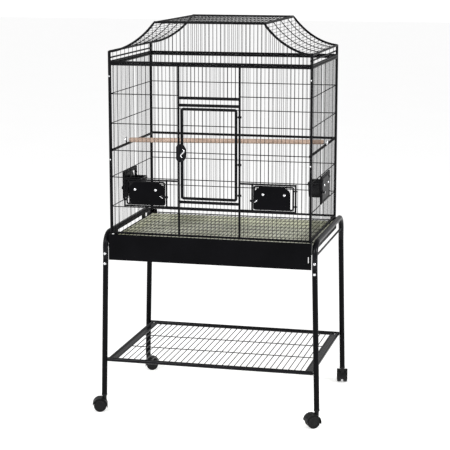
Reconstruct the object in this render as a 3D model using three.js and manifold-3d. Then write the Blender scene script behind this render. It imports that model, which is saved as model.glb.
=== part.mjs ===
// Bird flight cage on a wheeled tube stand. Millimetres, +Z up, the front faces -Y.
import * as THREE from "three";
import { mergeVertices } from "three/addons/utils/BufferGeometryUtils.js";
import Module from "manifold-3d";

const wasm = await Module();
wasm.setup();

// ---- driving dimensions -------------------------------------------------
const HALF_WIDTH = 400; // corner post centre lines, left to right
const HALF_DEPTH = 285; // panel planes, front to back
const ROD = 4; // frame rod radius
const THIN = 2.6; // half width of the lighter square bars
const THIN_ROD = 3; // the round equivalent of those bars
const WIRE = 2.2; // width of a bar wire
const GAP = 0.3; // least gap between pieces that only touch
const CROSS_OFFSET = WIRE + GAP; // a cross wire lies just inside the bars

const BASE_LOW = 703; // underside of the base frame
const BASE_TOP = 751;
const BOTTOM_RAIL = 757;
const TOP_RAIL = 1422;
const ROOF_RAIL = 1431;
const SIDE_BAR = 1448;
const EAVE = 1471;
const ROOF_TOP = 1586;
const ROOF_HALF = 215.5; // half width of the flat roof
const ROWS = [861.5, 979, 1085, 1191, 1307];
const MID_RAIL = 1085;

const DOOR_POST = 121.5;
const CROSS_BARS = [865, 891, 1270, 1298];
const DOOR = { half: 107.5, low: 906, high: 1255, hinge: DOOR_POST, latch: 1084 };
const DOOR_EYES = [925, 1045, 1229];

const FEEDER = { half: 85.5, low: 868, high: 972, latchX: -68, latchZ: 908 };
const FRONT_FEEDER_X = 257;
const SIDE_FEEDER_Y = 35;

const TUBE = 11; // stand tube radius
const STAND_X = 422;
const STAND_FRONT = -296; // the front legs stand just outside the tray front
const STAND_BACK = 318;
const FOOT_X = 436; // the legs lean outwards to here
const ARCH_TOP = 752;
const ARCH_BEND = 55;
const LEG_TOP = 652;
const FLOOR = 20; // heights start at a datum this far under the floor
const LEG_FOOT = FLOOR + 66;
const SHELF = 237;
const WHEEL = 26;
const TRAIL = 18; // a caster's wheel lies this far behind its stem

// ---- making solids --------------------------------------------------------
function solid(geometry) {
  const plain = geometry.index ? geometry.toNonIndexed() : geometry;
  const points = new THREE.BufferGeometry();
  points.setAttribute("position", plain.getAttribute("position"));
  const merged = mergeVertices(points, 1e-4);
  return new wasm.Manifold(new wasm.Mesh({
    numProp: 3,
    vertProperties: merged.attributes.position.array,
    triVerts: new Uint32Array(merged.index.array),
  }));
}

function fuse(parts) {
  let layer = parts;
  while (layer.length > 1) {
    const next = [];
    for (let i = 0; i < layer.length; i += 2) {
      next.push(i + 1 < layer.length ? layer[i].add(layer[i + 1]) : layer[i]);
    }
    layer = next;
  }
  return layer[0];
}

function alongLine(geometry, a, b) {
  const from = new THREE.Vector3(...a);
  const to = new THREE.Vector3(...b);
  const way = to.clone().sub(from).normalize();
  const turn = new THREE.Quaternion().setFromUnitVectors(new THREE.Vector3(0, 1, 0), way);
  geometry.applyQuaternion(turn);
  const middle = from.add(to).multiplyScalar(0.5);
  return solid(geometry.translate(middle.x, middle.y, middle.z));
}

function length(a, b) {
  return Math.hypot(b[0] - a[0], b[1] - a[1], b[2] - a[2]);
}

// A straight round bar; its flats face along the axes.
function rod(a, b, radius = ROD, sides = 8) {
  const bar = new THREE.CylinderGeometry(radius, radius, length(a, b), sides);
  return alongLine(bar.rotateY(Math.PI / sides), a, b);
}

function wire(a, b, width = WIRE) {
  return alongLine(new THREE.BoxGeometry(width, length(a, b), width), a, b);
}

function box(low, high) {
  const size = high.map((v, i) => v - low[i]);
  const block = new THREE.BoxGeometry(...size);
  return solid(block.translate(...low.map((v, i) => v + size[i] / 2)));
}

function polygonShape(points) {
  return new THREE.Shape(points.map(([x, y]) => new THREE.Vector2(x, y)));
}

function circlePoints(radius, sides, turn = 0) {
  return Array.from({ length: sides }, (_, i) => {
    const angle = turn + (2 * Math.PI * (i + 0.5)) / sides;
    return [radius * Math.cos(angle), radius * Math.sin(angle)];
  });
}

// A bar that follows a curve, with a flat-sided round section.
function bentRod(path, steps, radius, sides = 8) {
  const section = polygonShape(circlePoints(radius, sides));
  return solid(new THREE.ExtrudeGeometry(section, { steps, extrudePath: path }));
}

// A flat plate drawn in X and Z, standing from y = near to y = far.
function upright(points, near, far, holes = []) {
  const shape = polygonShape(points);
  shape.holes = holes.map((hole) => polygonShape(hole));
  const plate = new THREE.ExtrudeGeometry(shape, { depth: far - near, bevelEnabled: false });
  return solid(plate.rotateX(Math.PI / 2).translate(0, far, 0));
}

// A flat plate drawn in X and Y, lying from z = low to z = high.
function lying(points, low, high, holes = []) {
  const shape = polygonShape(points);
  shape.holes = holes.map((hole) => polygonShape(hole));
  const plate = new THREE.ExtrudeGeometry(shape, { depth: high - low, bevelEnabled: false });
  return solid(plate.translate(0, 0, low));
}

function roundedRectangle(x0, y0, x1, y1, radius, steps = 3) {
  const centres = [[x1 - radius, y1 - radius, 0], [x0 + radius, y1 - radius, 1],
    [x0 + radius, y0 + radius, 2], [x1 - radius, y0 + radius, 3]];
  const points = [];
  for (const [cx, cy, quarter] of centres) {
    for (let i = 0; i <= steps; i += 1) {
      const angle = (Math.PI / 2) * (quarter + i / steps);
      points.push([cx + radius * Math.cos(angle), cy + radius * Math.sin(angle)]);
    }
  }
  return points;
}

function between(start, end, bays) {
  return Array.from({ length: bays - 1 }, (_, i) => start + ((end - start) * (i + 1)) / bays);
}

const root = new THREE.Group();

function add(name, body, colour, metalness = 0.3, roughness = 0.5) {
  const made = body.getMesh();
  const geometry = new THREE.BufferGeometry();
  geometry.setAttribute("position", new THREE.BufferAttribute(made.vertProperties, 3));
  geometry.setIndex(new THREE.BufferAttribute(made.triVerts, 1));
  const flat = geometry.toNonIndexed();
  flat.computeVertexNormals();
  const material = new THREE.MeshStandardMaterial({ color: colour, metalness, roughness });
  const mesh = new THREE.Mesh(flat, material);
  mesh.name = name;
  root.add(mesh);
}

// Turns a solid about Z and moves it.
function placed(body, degrees, x, y) {
  return body.rotate([0, 0, degrees]).translate([x, y, 0]);
}

const BLACK = 0x17181a;
const PLASTIC = 0x1b1c1e;
const SILVER = 0xc9cacc;
const PALE = 0xd9d8c4;
const TIMBER = 0xc59a72;

// ---- wire panels ------------------------------------------------------------
// A panel is drawn in its own frame: x along the wall, y = 0 in its plane, outside is -y.
function feederFrame(x) {
  const { half, low, high } = FEEDER;
  return [
    wire([x - half, 0, low - THIN], [x - half, 0, high + THIN], 2 * THIN),
    wire([x + half, 0, low - THIN], [x + half, 0, high + THIN], 2 * THIN),
    wire([x - half, 0, low], [x + half, 0, low], 2 * THIN),
    wire([x - half, 0, high], [x + half, 0, high], 2 * THIN),
  ];
}

// Upright bars between two heights; those that meet a feeder opening stop at its frame.
function bars(xs, low, high, feederXs = []) {
  const made = [];
  for (const x of xs) {
    const feeder = feederXs.find((centre) => Math.abs(x - centre) < FEEDER.half + THIN_ROD);
    if (feeder === undefined) {
      made.push(wire([x, 0, low], [x, 0, high]));
    } else if (Math.abs(x - feeder) < FEEDER.half - THIN_ROD - WIRE) {
      made.push(wire([x, 0, low], [x, 0, FEEDER.low]), wire([x, 0, FEEDER.high], [x, 0, high]));
    }
  }
  return made;
}

function frontPanel() {
  const left = between(-HALF_WIDTH, -DOOR_POST, 17);
  const right = left.map((x) => -x);
  const middle = between(-DOOR_POST, DOOR_POST, 15);
  const parts = [];
  for (const x of [-HALF_WIDTH, -DOOR_POST, DOOR_POST, HALF_WIDTH]) {
    parts.push(rod([x, 0, BOTTOM_RAIL - ROD], [x, 0, TOP_RAIL + ROD]));
  }
  for (const z of [BOTTOM_RAIL, TOP_RAIL]) {
    parts.push(rod([-HALF_WIDTH, 0, z], [HALF_WIDTH, 0, z]));
  }
  for (const z of CROSS_BARS) {
    parts.push(wire([-DOOR_POST, 0, z], [DOOR_POST, 0, z], 6));
  }
  for (const side of [-1, 1]) {
    for (const z of ROWS) {
      parts.push(wire([side * HALF_WIDTH, CROSS_OFFSET, z], [side * DOOR_POST, CROSS_OFFSET, z]));
    }
    parts.push(...feederFrame(side * FRONT_FEEDER_X));
  }
  parts.push(...bars(left, BOTTOM_RAIL, TOP_RAIL, [-FRONT_FEEDER_X]));
  parts.push(...bars(right, BOTTOM_RAIL, TOP_RAIL, [FRONT_FEEDER_X]));
  parts.push(...bars(middle, BOTTOM_RAIL, CROSS_BARS[0]));
  parts.push(...bars(middle, CROSS_BARS[3], TOP_RAIL));
  // A short stay joins each feeder opening to the post beside it.
  for (const side of [-1, 1]) {
    const near = side * (FRONT_FEEDER_X - FEEDER.half);
    for (const z of [FEEDER.low, FEEDER.high]) {
      parts.push(wire([side * DOOR_POST, 0, z], [near, 0, z], 2.4));
    }
  }
  return placed(fuse(parts), 0, 0, -HALF_DEPTH);
}

// midSide puts the heavy middle rail inside (1) or outside (-1) the bars.
function plainPanel(half, bays, feederXs, midSide) {
  const parts = [];
  for (const x of [-half, half]) {
    parts.push(rod([x, 0, BOTTOM_RAIL - ROD], [x, 0, TOP_RAIL + ROD]));
  }
  for (const z of [BOTTOM_RAIL, TOP_RAIL]) {
    parts.push(rod([-half, 0, z], [half, 0, z]));
  }
  for (const z of ROWS) {
    if (z === MID_RAIL) {
      const y = midSide * (WIRE / 2 + GAP + 3.5);
      parts.push(rod([-half, y, z], [half, y, z], 3.5));
    } else {
      parts.push(wire([-half, CROSS_OFFSET, z], [half, CROSS_OFFSET, z]));
    }
  }
  for (const centre of feederXs) {
    parts.push(...feederFrame(centre));
  }
  parts.push(...bars(between(-half, half, bays), BOTTOM_RAIL, TOP_RAIL, feederXs));
  return fuse(parts);
}

const SIDE_HALF = HALF_DEPTH - 2 * ROD - 0.6;

const backPanel = plainPanel(HALF_WIDTH, 50, [], -1);
const sidePanel = plainPanel(SIDE_HALF, 34, [SIDE_FEEDER_Y], 1);
add("front_panel", frontPanel(), BLACK);
add("back_panel", placed(backPanel, 180, 0, HALF_DEPTH), BLACK);
add("left_panel", placed(sidePanel, -90, -HALF_WIDTH, 0), BLACK);
add("right_panel", placed(sidePanel, 90, HALF_WIDTH, 0), BLACK);

// ---- roof -----------------------------------------------------------------------
function roofCurve(side, y, offset = 0, inset = 0) {
  return new THREE.CubicBezierCurve3(
    new THREE.Vector3(side * HALF_WIDTH, y, EAVE + offset),
    new THREE.Vector3(side * 330, y, EAVE + 6 + offset),
    new THREE.Vector3(side * (258 + offset * 0.6), y, 1527 + offset * 0.8),
    new THREE.Vector3(side * (ROOF_HALF + offset * 0.8 + inset), y, ROOF_TOP + offset * 0.4 - inset),
  );
}

// Height of the curved roof edge above a point x.
function roofHeight(x) {
  if (Math.abs(x) <= ROOF_HALF) return ROOF_TOP;
  const curve = roofCurve(1, 0);
  let low = 0;
  let high = 1;
  for (let i = 0; i < 40; i += 1) {
    const middle = (low + high) / 2;
    if (curve.getPoint(middle).x > Math.abs(x)) low = middle;
    else high = middle;
  }
  return curve.getPoint(low).z;
}

function gable(y) {
  const parts = [rod([-HALF_WIDTH, y, ROOF_RAIL], [HALF_WIDTH, y, ROOF_RAIL])];
  parts.push(rod([-ROOF_HALF, y, ROOF_TOP], [ROOF_HALF, y, ROOF_TOP]));
  for (const side of [-1, 1]) {
    parts.push(rod([side * HALF_WIDTH, y, ROOF_RAIL - ROD], [side * HALF_WIDTH, y, EAVE + ROD]));
    parts.push(bentRod(roofCurve(side, y), 6, ROD));
  }
  for (const x of between(-HALF_WIDTH, HALF_WIDTH, 50)) {
    parts.push(wire([x, y, ROOF_RAIL], [x, y, roofHeight(x)]));
  }
  return fuse(parts);
}

const ROOF_SPAN = HALF_DEPTH - ROD - THIN_ROD - 0.5; // the roof's own edge rods, front to back
const RIBS = [-ROOF_SPAN / 2, 0, ROOF_SPAN / 2];

function roofSide(side) {
  const x = side * HALF_WIDTH;
  const parts = [];
  for (const z of [ROOF_RAIL, EAVE]) {
    parts.push(rod([x, -SIDE_HALF, z], [x, SIDE_HALF, z]));
  }
  const inside = x - side * (WIRE / 2 + GAP + THIN);
  parts.push(wire([inside, -SIDE_HALF, SIDE_BAR], [inside, SIDE_HALF, SIDE_BAR], 2 * THIN));
  for (const y of [-SIDE_HALF, SIDE_HALF]) {
    parts.push(rod([x, y, ROOF_RAIL - ROD], [x, y, EAVE + ROD]));
  }
  for (const y of between(-SIDE_HALF, SIDE_HALF, 34)) {
    parts.push(wire([x, y, ROOF_RAIL], [x, y, EAVE]));
  }
  const topX = side * (ROOF_HALF + THIN_ROD + 0.5);
  const topEnd = ROOF_SPAN + THIN;
  parts.push(wire([topX, -topEnd, ROOF_TOP - 1], [topX, topEnd, ROOF_TOP - 1], 2 * THIN));
  for (const y of [-ROOF_SPAN, ROOF_SPAN]) {
    parts.push(bentRod(roofCurve(side, y, 0, 3.6), 6, THIN * 1.3, 4));
  }
  for (const y of RIBS) {
    parts.push(bentRod(roofCurve(side, y, 3.6, 2), 6, 1.5, 4));
  }
  const curve = roofCurve(side, 0, 0, 3.6);
  for (let i = 1; i < 15; i += 1) {
    const at = curve.getPointAt(i / 15);
    parts.push(wire([at.x, -ROOF_SPAN, at.z], [at.x, ROOF_SPAN, at.z], 2.2));
  }
  return fuse(parts);
}

function roofDeck() {
  const half = ROOF_HALF - THIN_ROD;
  const parts = [];
  for (const y of [-ROOF_SPAN, ROOF_SPAN]) {
    parts.push(wire([-half - 2, y, ROOF_TOP], [half + 2, y, ROOF_TOP], 2 * THIN));
  }
  for (const x of [-half, half]) {
    parts.push(wire([x, -ROOF_SPAN - 2, ROOF_TOP], [x, ROOF_SPAN + 2, ROOF_TOP], 5));
  }
  const under = ROOF_TOP - CROSS_OFFSET;
  for (const y of RIBS) {
    parts.push(wire([-half - 1, y, under], [half + 1, y, under], 2.4));
  }
  for (const x of between(-half, half, 27)) {
    parts.push(wire([x, -ROOF_SPAN, ROOF_TOP], [x, ROOF_SPAN, ROOF_TOP]));
  }
  return fuse(parts);
}

add("roof_front_gable", gable(-HALF_DEPTH), BLACK);
add("roof_back_gable", gable(HALF_DEPTH), BLACK);
add("roof_left_curve", roofSide(-1), BLACK);
add("roof_right_curve", roofSide(1), BLACK);
add("roof_deck", roofDeck(), BLACK);

// ---- base, tray and grate ----------------------------------------------------------
const BASE_X = 406;
const BASE_Y = 291;
const TRAY_LOW = BASE_LOW + 2 + GAP;
const TRAY_HIGH = 733;

function baseFrame() {
  const wall = 2;
  const ledge = 16;
  const outer = [[-BASE_X, -BASE_Y], [BASE_X, -BASE_Y], [BASE_X, BASE_Y], [-BASE_X, BASE_Y]];
  const inner = (d) => [[-BASE_X + d, -BASE_Y - 1], [BASE_X - d, -BASE_Y - 1],
    [BASE_X - d, BASE_Y - d], [-BASE_X + d, BASE_Y - d]];
  const room = lying(inner(wall), BASE_LOW - 1, BASE_TOP + 1);
  const walls = lying(outer, BASE_LOW, BASE_TOP).subtract(room);
  const shelf = lying(outer, BASE_LOW, BASE_LOW + wall).subtract(
    lying(inner(ledge), BASE_LOW - 1, BASE_LOW + wall + 1));
  // The walls stand to full height only at the corners, where the cage rests on them.
  const cutX = BASE_X - 26;
  const cutY = BASE_Y - 26;
  const acrossSides = box([-BASE_X - 1, -cutY, TRAY_HIGH], [BASE_X + 1, cutY, BASE_TOP + 1]);
  const acrossBack = box([-cutX, 0, TRAY_HIGH], [cutX, BASE_Y + 1, BASE_TOP + 1]);
  return fuse([walls, shelf]).subtract(acrossSides).subtract(acrossBack);
}

// The tray is a flat floor lying on the lip of an upright rim.
const TRAY_LIP = 1.2;

function trayOutline(inset) {
  const x = BASE_X - 5 - inset;
  return roundedRectangle(-x, -BASE_Y + 1 + inset, x, BASE_Y - 5 - inset, 5, 2);
}

function trayRim() {
  const wall = lying(trayOutline(0), TRAY_LOW, TRAY_HIGH).subtract(
    lying(trayOutline(3), TRAY_LOW - 1, TRAY_HIGH + 1));
  const lip = lying(trayOutline(1), TRAY_LOW, TRAY_LOW + TRAY_LIP).subtract(
    lying(trayOutline(9), TRAY_LOW - 1, TRAY_HIGH));
  return fuse([wall, lip]);
}

function trayFloor() {
  return lying(trayOutline(3 + GAP), TRAY_LOW + TRAY_LIP + GAP, TRAY_LOW + 3);
}

// The tall front plate of the tray, with one slot near its right end.
function trayFront() {
  const y = -BASE_Y - 0.5;
  const outline = [[-408, 648], [408, 648], [408, 751], [-408, 751]];
  const slot = [[394.5, 674], [398.5, 674], [398.5, 699], [394.5, 699]];
  return upright(outline, y - 8, y, [slot]);
}

function grate() {
  const x = 392;
  const y = 278;
  const z = 740;
  const parts = [];
  for (const side of [-1, 1]) {
    parts.push(wire([-x, side * y, z], [x, side * y, z], 4.6));
    parts.push(wire([side * x, -y - 2.3, z], [side * x, y + 2.3, z], 4.6));
    for (const tab of [-200, 200]) {
      const ends = [side * x, side * (x + 8.5)].sort((a, b) => a - b);
      parts.push(box([ends[0], tab - 8, TRAY_HIGH + GAP], [ends[1], tab + 8, z + 1]));
    }
  }
  for (const at of between(-x, x, 49)) {
    parts.push(wire([at, -y, z], [at, y, z], 2.2));
  }
  for (const at of between(-y, y, 8)) {
    parts.push(wire([-x, at, z - 2.5], [x, at, z - 2.5], 2.2));
  }
  return fuse(parts);
}

add("base_frame", baseFrame(), BLACK);
add("tray", trayFloor(), PALE, 0, 0.6);
add("tray_rim", trayRim(), PALE, 0, 0.6);
add("tray_front", trayFront(), BLACK);
add("grate", grate(), BLACK);

// ---- main door and its turning latch --------------------------------------------------
function eye(x, z, inner, outer, height) {
  const hole = circlePoints(inner, 8);
  return lying(circlePoints(outer, 8), z - height / 2, z + height / 2, [hole]).translate([x, 0, 0]);
}

// The latch plate is a D in two halves: a keeper on the post and a round half on the door.
const LATCH_SPLIT = -112.2;

function keeperOutline(z) {
  const edge = LATCH_SPLIT - GAP;
  return [[edge, z - 36], [edge, z + 36], [-122, z + 33], [-130, z + 25],
    [-130, z - 25], [-122, z - 33]];
}

function doorPlateOutline(z) {
  const edge = LATCH_SPLIT + GAP;
  const points = [[edge, z + 36], [edge, z - 36]];
  for (let i = 0; i <= 10; i += 1) {
    const angle = (-80 + 16 * i) * (Math.PI / 180);
    points.push([edge + 23.4 * Math.cos(angle), z + 36 * Math.sin(angle)]);
  }
  return points;
}

function mainDoor() {
  const { half, low, high, hinge, latch } = DOOR;
  const parts = [];
  for (const x of [-half, half]) {
    parts.push(wire([x, 0, low - THIN], [x, 0, high + THIN], 2 * THIN));
  }
  for (const z of [low, high]) {
    parts.push(wire([-half, 0, z], [half, 0, z], 2 * THIN));
  }
  for (const z of ROWS.slice(1, 4)) {
    parts.push(wire([-half, CROSS_OFFSET - 0.4, z], [half, CROSS_OFFSET - 0.4, z], 2));
  }
  for (const x of between(-half, half, 13)) {
    parts.push(wire([x, 0, low], [x, 0, high]));
  }
  for (const z of DOOR_EYES) {
    parts.push(eye(hinge, z, ROD + 0.9, ROD + 3.2, 10));
    parts.push(box([half, -1.5, z - 5], [hinge - ROD - 1.6, 1.5, z + 5]));
  }
  parts.push(upright(doorPlateOutline(latch), -7.4, -2));
  const hole = rod([-101, -9, latch], [-101, 0, latch], 2.6);
  return placed(fuse(parts).subtract(hole), 0, 0, -HALF_DEPTH);
}

function latchKnob() {
  const z = DOOR.latch;
  const y = -HALF_DEPTH;
  const knob = rod([-101, y - 17, z], [-101, y - 9.4, z], 12, 24);
  const arm = [[-127, z - 5], [-101, z - 7], [-101, z + 7], [-127, z + 5]];
  const tongue = upright(arm, y - 10.4, y - 7.9);
  const pin = rod([-101, y - 9, z], [-101, y - 4, z], 2.2);
  return fuse([knob, tongue, pin]);
}

function latchKeeper() {
  const outline = keeperOutline(DOOR.latch);
  return upright(outline, -HALF_DEPTH - 7.4, -HALF_DEPTH - ROD - GAP);
}

add("main_door", mainDoor(), BLACK);
add("latch_keeper", latchKeeper(), BLACK);
add("latch_knob", latchKnob(), SILVER, 0.9, 0.3);

// ---- feeder doors -----------------------------------------------------------------------
// Drawn with the opening centred on x = 0, outside at -y. hand = 1 puts the hinge at +x.
function feederDoor(hand) {
  const { half, low, high, latchX, latchZ } = FEEDER;
  const x = (value) => hand * value;
  const plate = [];
  for (const [cx, from] of [[36, 0], [-52, 1]]) {
    for (let i = 0; i <= 4; i += 1) {
      const angle = (Math.PI / 2) * (from + i / 4);
      plate.push([x(cx + 26 * Math.cos(angle)), high - 36 + 26 * Math.sin(angle)]);
    }
  }
  plate.push([x(-78), low + 8], [x(62), low + 8]);
  const parts = [
    upright(hand > 0 ? plate : plate.reverse(), -3.5, -1.5),
    wire([x(-79), 0, low + 4], [x(-79), 0, high - 4], 4),
    wire([x(76), 0, low + 4], [x(76), 0, high - 4], 4),
    wire([x(-79), 0, low + 6], [x(76), 0, low + 6], 4),
    wire([x(-79), 0, high - 6], [x(76), 0, high - 6], 4),
  ];
  for (const z of [low + 22, high - 22]) {
    parts.push(eye(x(half), z, THIN_ROD + 1.4, THIN_ROD + 3.4, 8));
    const ends = [x(76), x(half - THIN_ROD - 1.8)].sort((a, b) => a - b);
    parts.push(box([ends[0], -1.4, z - 4], [ends[1], 1.4, z + 4]));
  }
  const ends = [x(-64), x(52)].sort((a, b) => a - b);
  const ring = lying(roundedRectangle(ends[0], -2, ends[1], 63, 13), 931, 939);
  const hollow = lying(roundedRectangle(ends[0] + 2.4, 0.8, ends[1] - 2.4, 60.6, 12), 930, 940);
  const hole = rod([x(latchX), -8, latchZ], [x(latchX), 4, latchZ], 2.4);
  return fuse([...parts, ring.subtract(hollow)]).subtract(hole);
}

function seedCup(hand) {
  const ends = [hand * -61, hand * 49].sort((a, b) => a - b);
  const body = lying(roundedRectangle(ends[0], 2.4, ends[1], 60, 12), 884, 942);
  const rim = lying(roundedRectangle(ends[0] - 2.5, 2.4, ends[1] + 2.5, 62.4, 13), 939.4, 943);
  const inside = lying(roundedRectangle(ends[0] + 2, 4.4, ends[1] - 2, 58, 10), 886, 950);
  return body.add(rim).subtract(inside);
}

function feederLatch(hand) {
  const x = hand * FEEDER.latchX;
  const z = FEEDER.latchZ;
  const tip = hand * (FEEDER.latchX - 25);
  const arm = [[tip, z - 4], [x, z - 6], [x, z + 6], [tip, z + 4]];
  return fuse([
    rod([x, -12, z], [x, -3.9, z], 8, 16),
    upright(hand > 0 ? arm : arm.reverse(), -6.6, -3.9),
    rod([x, -5, z], [x, 0.6, z], 1.9),
  ]);
}

const FEEDERS = [
  ["front_left", -1, 0, -FRONT_FEEDER_X, -HALF_DEPTH],
  ["front_right", 1, 0, FRONT_FEEDER_X, -HALF_DEPTH],
  ["left", -1, -90, -HALF_WIDTH, -SIDE_FEEDER_Y],
  ["right", 1, 90, HALF_WIDTH, SIDE_FEEDER_Y],
];
for (const [place, hand, degrees, x, y] of FEEDERS) {
  add(`feeder_door_${place}`, placed(feederDoor(hand), degrees, x, y), BLACK);
  add(`seed_cup_${place}`, placed(seedCup(hand), degrees, x, y), PLASTIC, 0, 0.4);
  add(`feeder_latch_${place}`, placed(feederLatch(hand), degrees, x, y), SILVER, 0.9, 0.3);
}

// ---- perch ------------------------------------------------------------------------------
const PERCH_Z = 1099;
const PERCH_LEFT_Y = -70;
const PERCH_RIGHT_Y = 52;

function perch() {
  const inside = HALF_WIDTH - 10;
  const bar = rod([-inside - 12, PERCH_LEFT_Y, PERCH_Z], [inside + 12, PERCH_RIGHT_Y, PERCH_Z], 10, 16);
  return bar.intersect(box([-inside, -200, PERCH_Z - 20], [inside, 200, PERCH_Z + 20]));
}

add("perch", perch(), TIMBER, 0, 0.7);
const PERCH_ENDS = [["left", -1, PERCH_LEFT_Y], ["right", 1, PERCH_RIGHT_Y]];
for (const [name, side, y] of PERCH_ENDS) {
  const face = HALF_WIDTH + WIRE / 2 + GAP;
  const washer = rod([side * face, y, PERCH_Z], [side * (face + 2), y, PERCH_Z], 13, 16);
  add(`perch_washer_${name}`, washer, SILVER);
}

// ---- stand ---------------------------------------------------------------------------------
class Bend extends THREE.Curve {
  constructor(x, y, z, way) {
    super();
    this.centre = [x, y, z];
    this.way = way;
  }

  getPoint(t) {
    const angle = (t * Math.PI) / 2;
    const [x, y, z] = this.centre;
    return new THREE.Vector3(x, y + this.way * ARCH_BEND * Math.cos(angle), z + ARCH_BEND * Math.sin(angle));
  }
}

function standY(side) {
  return side < 0 ? STAND_FRONT : STAND_BACK;
}

function arch(side) {
  const x = side * STAND_X;
  const frontBend = STAND_FRONT + ARCH_BEND;
  const backBend = STAND_BACK - ARCH_BEND;
  const bendZ = ARCH_TOP - ARCH_BEND;
  const parts = [rod([x, frontBend - 0.5, ARCH_TOP], [x, backBend + 0.5, ARCH_TOP], TUBE)];
  for (const way of [-1, 1]) {
    const y = standY(way);
    parts.push(rod([x, y, LEG_TOP + 0.5], [x, y, bendZ + 0.5], TUBE));
    parts.push(bentRod(new Bend(x, y - way * ARCH_BEND, bendZ, way), 6, TUBE));
    const lug = [side * (BASE_X + GAP), side * (STAND_X - 4)].sort((a, b) => a - b);
    parts.push(box([lug[0], way * 190 - 14, 728], [lug[1], way * 190 + 14, 750]));
  }
  parts.push(rod([x, STAND_FRONT, 699], [x, STAND_BACK, 699], 4));
  return fuse(parts);
}

function leg(sideX, sideY) {
  const y = standY(sideY);
  const foot = [sideX * FOOT_X, y, LEG_FOOT];
  const tube = rod(foot, [sideX * STAND_X, y, LEG_TOP], TUBE);
  const bore = rod([foot[0], foot[1], LEG_FOOT - 5], [foot[0], foot[1], LEG_FOOT + 30], 6);
  return tube.subtract(bore);
}

function dome(x, y, z, side, radius = 6) {
  const profile = [[0, 0], [radius, 0], [radius, 1.2], [radius * 0.6, 3.6], [0, 4.4]];
  const cap = new THREE.LatheGeometry(profile.map(([r, h]) => new THREE.Vector2(r, h)), 10);
  return solid(cap.rotateX(side < 0 ? Math.PI : 0).translate(x, y, z));
}

// The shelf is a rack of wires between two tubes and two broad side channels.
function shelf() {
  const x = STAND_X - 2;
  const wide = 32;
  const parts = [];
  for (const side of [-1, 1]) {
    const y = standY(side);
    parts.push(rod([-x, y, SHELF], [x, y, SHELF], 8.5));
    const ends = [side * (x - wide), side * x].sort((a, b) => a - b);
    parts.push(box([ends[0], STAND_FRONT, SHELF - 6], [ends[1], STAND_BACK, SHELF + 6]));
  }
  const inner = x - wide + 2;
  for (const at of between(-inner, inner, 32)) {
    parts.push(wire([at, STAND_FRONT, SHELF], [at, STAND_BACK, SHELF], 3.6));
  }
  for (const at of [-70, 110]) {
    parts.push(wire([-inner, at, SHELF - 3.9], [inner, at, SHELF - 3.9], 3.6));
  }
  return fuse(parts);
}

function casterHood() {
  const web = [];
  const cover = [];
  for (let i = 0; i <= 8; i += 1) {
    const angle = (-15 + (i * 190) / 8) * (Math.PI / 180);
    cover.push([31 * Math.cos(angle), 31 * Math.sin(angle)]);
    web.push([29 * Math.cos(angle), 29 * Math.sin(angle)]);
  }
  const inner = cover.map(([a, b]) => [(a * 28) / 31, (b * 28) / 31]).reverse();
  const hood = upright([...cover, ...inner], -23, 23).add(upright(web, -3.5, 3.5));
  const bored = hood.subtract(rod([0, -10, 0], [0, 10, 0], 4.6, 8));
  const neck = rod([TRAIL, 0, 20], [TRAIL, 0, 38.5], 9, 12);
  const stem = rod([TRAIL, 0, 30], [TRAIL, 0, 64], 4.6, 8);
  const clear = rod([0, -24, 0], [0, -3.5, 0], 27.9, 20).add(rod([0, 3.5, 0], [0, 24, 0], 27.9, 20));
  return bored.add(neck.subtract(clear)).add(stem).translate([-TRAIL, 0, FLOOR + WHEEL]);
}

function casterWheels() {
  const wheel = (y0, y1) => rod([0, y0, 0], [0, y1, 0], WHEEL, 20);
  const axle = rod([0, -12, 0], [0, 12, 0], 3.8, 8);
  return fuse([wheel(-22, -4.3), wheel(4.3, 22), axle]).translate([-TRAIL, 0, FLOOR + WHEEL]);
}

const CORNERS = [
  ["front_left", -1, -1, 18],
  ["front_right", 1, -1, 30],
  ["back_right", 1, 1, -81],
  ["back_left", -1, 1, 197],
];
add("stand_arch_left", arch(-1), BLACK);
add("stand_arch_right", arch(1), BLACK);
for (const [place, sx, sy, degrees] of CORNERS) {
  const hood = placed(casterHood(), degrees, sx * FOOT_X, standY(sy));
  const wheels = placed(casterWheels(), degrees, sx * FOOT_X, standY(sy));
  add(`leg_${place}`, leg(sx, sy), BLACK);
  add(`caster_hood_${place}`, hood, PLASTIC, 0, 0.5);
  add(`caster_wheels_${place}`, wheels, PLASTIC, 0, 0.5);
  const boltY = standY(sy) + sy * (TUBE * Math.cos(Math.PI / 8) + GAP);
  add(`bolt_upper_${place}`, dome(sx * STAND_X, boltY, 674, sy), SILVER, 0.9, 0.3);
  add(`bolt_lower_${place}`, dome(sx * (STAND_X + 0.5), boltY, 633, sy), SILVER, 0.9, 0.3);
}
add("shelf", shelf(), BLACK);

// The frame's origin lies under the middle of the whole object.
const bounds = new THREE.Box3().setFromObject(root);
root.position.set(-(bounds.min.x + bounds.max.x) / 2, -(bounds.min.y + bounds.max.y) / 2, -bounds.min.z);
root.updateMatrixWorld(true);

export default root;
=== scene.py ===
# %% [markdown]
# # A wire flight cage on a wheeled stand
# This lesson dresses a finished set of CAD solids in round wire, powder coat, plastic and timber.
# The solids set where everything stands and how it moves. Here each one gets a round section, its
# welds, its screws and its finish. The door loop, the cross bars, the middle rails and the feeder
# loops are drawn heavier than their solids. Lengths are in metres, +Z is up and the main door
# faces -Y.

import math
import random

import bmesh
import bpy
from mathutils import Matrix, Vector


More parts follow.
